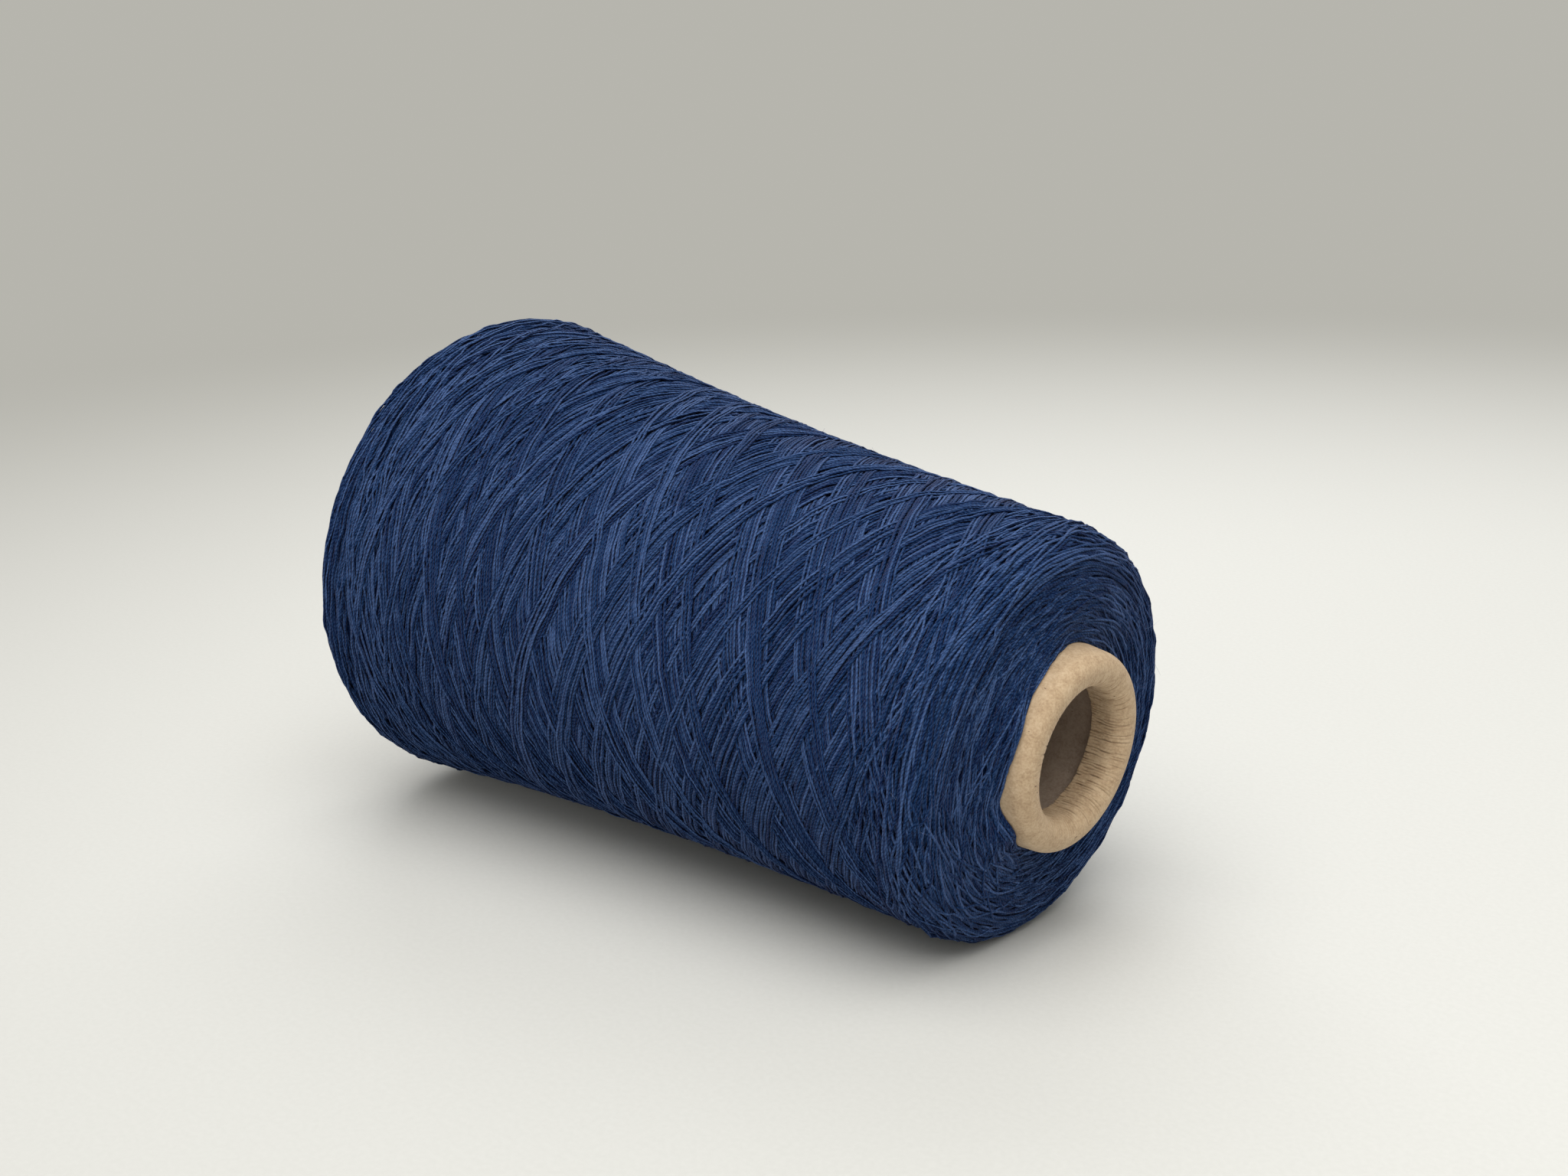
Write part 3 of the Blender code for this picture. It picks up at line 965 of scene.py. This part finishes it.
def ply_grid(offset, thickness, segments, steps):
    """Radius and along of a ply's closed section at each angle, and its count of outer rows."""
    outer = ply_path(offset, *steps)
    section = np.vstack([outer, ply_path(offset - thickness, *steps)[::-1]])
    radius = np.repeat(section[:, :1], segments, axis=1)
    along = np.repeat(section[:, 1:], segments, axis=1)
    return radius, along, len(outer)


def waves(values, theta, orders, size):
    """The values with a random wave of each order round the axis added."""
    for k in orders:
        values = values + RNG.normal(0, size(k)) * np.sin(k * theta + RNG.uniform(0, 6.3))
    return values


def crease_row(segments, creases):
    """Creases round the axis, 0 on the pillows between them and 1 at the bottom of one:
    irregularly spaced, and some much deeper than others."""
    theta = np.linspace(0, 2 * math.pi, segments, endpoint=False)
    warped = waves(theta * creases, theta, range(3, 60), lambda k: 5.0 / k)
    valley = 1 - np.abs(np.sin(warped / 2)) ** 0.55
    weight = waves(np.zeros(segments), theta, range(7, 80), lambda k: 1.0)
    return valley * np.clip(0.55 + 0.45 * weight / weight.std(), 0.05, 1.3)


def make_cover():
    """The kraft cover ply: smooth outside, gathered into axial creases where it turns in."""
    segments = 1440
    back_steps, arc_steps, wall_steps = 22, 34, 40
    radius, along, _ = ply_grid(ROLL_RADIUS, COVER_THICKNESS, segments,
                                (back_steps, arc_steps, wall_steps))
    crease_shade = np.zeros_like(radius)
    layers = [crease_row(segments, creases) for creases in CREASE_COUNTS]
    gathered = back_steps + int(arc_steps * CREASE_REACH)
    for row in range(gathered):
        place = row / gathered * (len(layers) - 1)
        k = min(int(place), len(layers) - 2)
        blend = np.clip((place - k - 0.5) * 2.2 + 0.5, 0, 1)
        depth = layers[k] * (1 - blend) + layers[k + 1] * blend
        depth = depth * min(1.0, 1.9 * (1 - row / gathered))
        angle = CONE_TAPER + math.pi
        if row >= back_steps:
            angle -= math.pi * (row - back_steps) / arc_steps
        radius[row] -= CREASE_DEPTH * depth * math.cos(angle)
        along[row] -= CREASE_DEPTH * depth * math.sin(angle)
        crease_shade[row] = depth
    # The cut edge in the mouth is slightly uneven.
    theta = np.linspace(0, 2 * math.pi, segments, endpoint=False)
    uneven = waves(np.zeros(segments), theta, range(2, 60, 3),
                   lambda k: EDGE_UNEVENNESS / k ** 0.5)
    edge_rows = 8
    for row in range(edge_rows):
        along[row] += uneven * (1 - row / edge_rows)
        along[-1 - row] += uneven * (1 - row / edge_rows)
    obj = turned_grid("kraft_cover", radius, along)
    # The crease depths also mask the painted shade in the creases.
    set_attribute(obj, "crease_shade", np.clip(crease_shade, 0, 1).ravel())
    kraft = paper_material("kraft_paper", (0.35, 0.235, 0.14), (0.49, 0.355, 0.225),
                           (0.60, 0.46, 0.31), (0.13, 0.075, 0.04), 0.78)
    finish_piece(obj, "kraft_paper", kraft, "cone_cover_ply")


def make_core():
    """The board core with the lap of its wound sheet as a low step along the bore."""
    segments = 360
    radius, along, outer_rows = ply_grid(ROLL_RADIUS - COVER_THICKNESS - PLY_GAP, CORE_THICKNESS,
                                         segments, (6, 14, 30))
    degrees = np.linspace(0, 360, segments, endpoint=False)
    lap = np.clip(degrees / LAP_DEGREES, 0, 1) * LAP_STEP
    rolled_rows = 12
    for row in range(outer_rows, len(radius) - rolled_rows):
        radius[row] -= lap - LAP_STEP * np.linspace(0, 1, segments)
    obj = turned_grid("board_core", radius, along)
    board = paper_material("cone_board", (0.31, 0.235, 0.185), (0.42, 0.33, 0.262),
                           (0.50, 0.405, 0.33), (0.08, 0.05, 0.035), 0.85)
    finish_piece(obj, "cone_board", board, "cone_core")


def make_tail(yarn):
    """The parked turns near the base, a little uneven, the last one running up to the package."""
    per_turn, lead_points = 60, 26
    turn = np.arange(TAIL_TURNS * per_turn + 1) / per_turn
    along = TAIL_START + TAIL_PITCH * turn
    along += np.interp(turn, np.arange(0, TAIL_TURNS + 0.5, 0.5),
                       RNG.normal(0.0, TAIL_SCATTER, 2 * TAIL_TURNS + 1))
    lead = np.linspace(0, 1, lead_points)[1:]
    theta = 2 * math.pi * np.concatenate([turn, TAIL_TURNS + TAIL_LEAD_TURNS * lead])
    along = np.concatenate([along, along[-1] + lead * (TAIL_LEAD_END - along[-1])])
    local = np.array([wall_point(ROLL_RADIUS + TAIL_RADIUS, place) for place in along])
    points = to_world(cylindrical(local[:, 0], theta, local[:, 1]))
    up = cylindrical(1.0, theta, np.zeros(len(theta))) @ AXIS_TURN
    obj = tubes("parked_turns", [(points, up, 0.5)], TAIL_RADIUS, TAIL_RADIUS, sides=8)
    finish_piece(obj, "navy_yarn", yarn, "transfer_tail")


# ---------------------------------------------------------------- studio
def make_stage():
    """A pale floor that fades, well beyond the object, into the tone of the surroundings."""
    bpy.ops.mesh.primitive_plane_add(size=12.0, location=(0, 0, -FLOOR_CLEARANCE))
    floor = bpy.context.object
    floor.name = "studio_floor"
    n = Nodes("studio_paper")
    place = n.place()
    grain = n.noise(place, 900.0, 2.0)
    n.link(n.ramp(grain, (0.3, (0.565, 0.565, 0.547)), (0.7, (0.585, 0.585, 0.567))),
           n.shader.inputs["Base Color"])
    n.set(Roughness=0.85, Specular_IOR_Level=0.2)
    away = n.add("ShaderNodeVectorMath", operation="DISTANCE")
    n.link(place, away.inputs[0])
    away.inputs[1].default_value = FLOOR_CENTRE
    far = n.add("ShaderNodeMapRange", interpolation_type="SMOOTHSTEP")
    n.link(away.outputs["Value"], far.inputs["Value"])
    far.inputs["From Min"].default_value = FLOOR_FADE[0]
    far.inputs["From Max"].default_value = FLOOR_FADE[1]
    glow = n.add("ShaderNodeEmission", Color=(*SURROUNDINGS, 1.0), Strength=1.0)
    blend = n.add("ShaderNodeMixShader")
    n.link(far.outputs["Result"], blend.inputs[0])
    n.link(n.shader.outputs[0], blend.inputs[1])
    n.link(glow.outputs[0], blend.inputs[2])
    n.link(blend.outputs[0], n.tree.nodes["Material Output"].inputs["Surface"])
    floor.data.materials.append(n.mat)


def area_light(name, location, target, size, power, colour):
    light = bpy.data.lights.new(name, "AREA")
    light.shape = "RECTANGLE"
    light.size, light.size_y = size
    light.energy = power
    light.color = colour
    obj = bpy.data.objects.new(name, light)
    bpy.context.collection.objects.link(obj)
    obj.location = location
    obj.rotation_euler = (Vector(target) - Vector(location)).to_track_quat("-Z", "Y").to_euler()


def make_lights():
    area_light("top_softbox", (0.19, -0.33, 1.1), (0.0, -0.04, 0.0), (1.3, 1.3), 17.0,
               (1.0, 0.99, 0.97))
    area_light("back_rim", (-0.62, 0.70, 0.75), (0, 0, 0.06), (1.0, 0.8), 6.5, (0.97, 0.98, 1.0))
    area_light("front_fill", (0.45, -1.0, 0.40), (0, 0, 0.0), (0.9, 0.5), 1.0, (0.97, 0.98, 1.0))
    world = bpy.data.worlds.new("studio")
    world.use_nodes = True
    background = world.node_tree.nodes["Background"]
    background.inputs["Color"].default_value = (*SURROUNDINGS, 1.0)
    background.inputs["Strength"].default_value = 1.0
    bpy.context.scene.world = world


def make_camera():
    """A long-ish lens, looking slightly down at the nose and along the flank."""
    azimuth, elevation = CAMERA_ANGLES
    right = Vector((math.cos(azimuth), math.sin(azimuth), 0))
    ahead = Vector((-math.sin(azimuth), math.cos(azimuth), 0))
    forward = ahead * math.cos(elevation) - Vector((0, 0, math.sin(elevation)))
    down = forward.cross(right)
    aside, below, ahead_of = CAMERA_FROM_WIDE_END
    location = AXIS.translation + aside * right + below * down + ahead_of * forward
    camera = bpy.data.cameras.new("camera")
    camera.sensor_width = 36.0
    camera.lens = CAMERA_LENS_MM
    obj = bpy.data.objects.new("camera", camera)
    bpy.context.collection.objects.link(obj)
    obj.location = location
    obj.rotation_euler = forward.to_track_quat("-Z", "Y").to_euler()
    bpy.context.scene.camera = obj
    bpy.context.scene.view_settings.view_transform = "Standard"


clean_scene()
make_camera()
make_stage()
make_lights()
navy_yarn = yarn_material()
make_package(navy_yarn)
make_cover()
make_core()
make_tail(navy_yarn)
